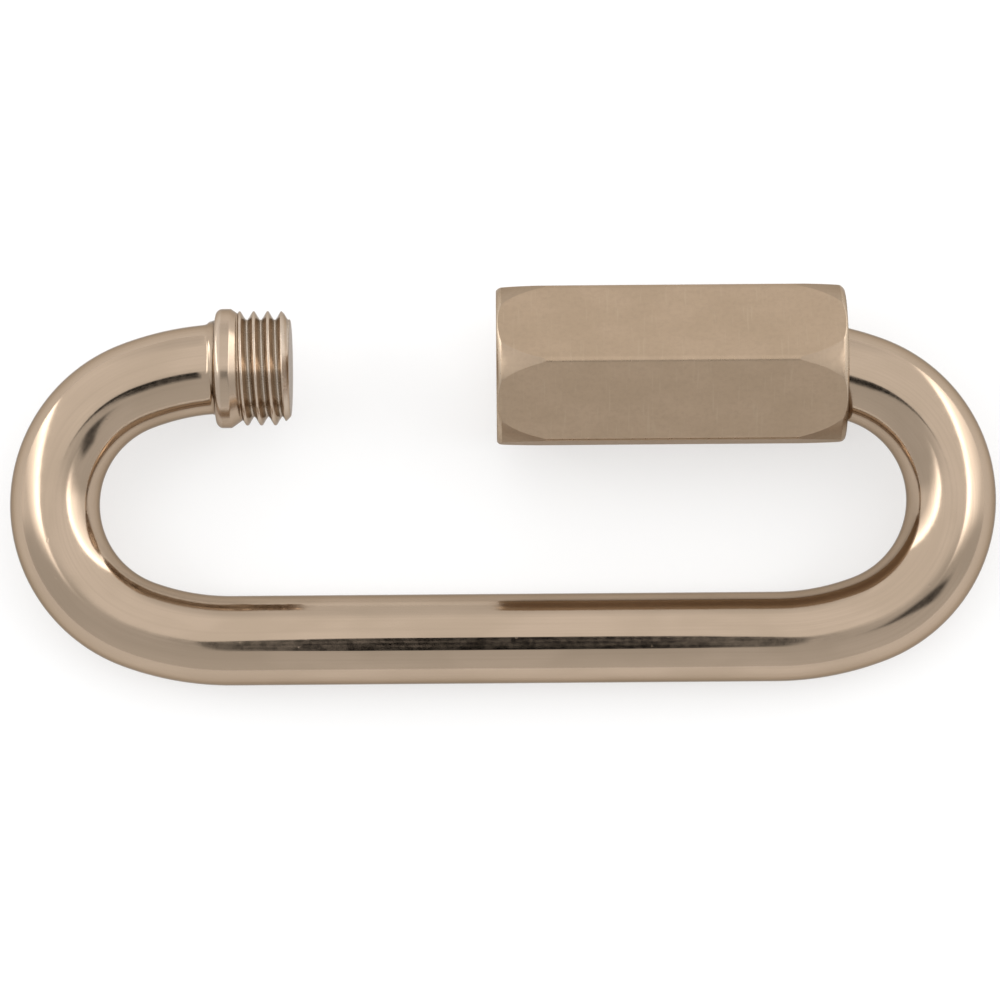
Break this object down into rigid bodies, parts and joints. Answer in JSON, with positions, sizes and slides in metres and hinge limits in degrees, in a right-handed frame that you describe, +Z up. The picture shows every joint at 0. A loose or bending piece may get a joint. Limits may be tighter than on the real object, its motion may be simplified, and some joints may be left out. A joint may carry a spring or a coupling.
{
  "type": "chain quick link",
  "caption": "Open chain quick link: a bent round-wire loop with threaded ends and a long hexagonal sleeve nut that screws across the gate to close it.",
  "frame": {"origin": "under the middle of the part's box, on the surface that it lies on", "axes": "+X along the straight rod towards the nut's arm, +Y from the rod towards the gate, +Z up from the surface"},
  "size_m": [0.088, 0.0354, 0.0157],
  "materials": {
    "wire_steel": "tumbled to a soft shine, with fine drawing lines along the wire",
    "nut_steel": "satin cold-drawn flats with turned ends"
  },
  "bodies": {
    "link": {"link_body": "wire_steel"},
    "nut": {"sleeve_nut": "nut_steel"}
  },
  "joints": [
    {"name": "nut_travel", "type": "slide", "parent": "link", "child": "nut", "axis": [-1, 0, 0], "range_m": [0, 0.0225]}
  ]
}
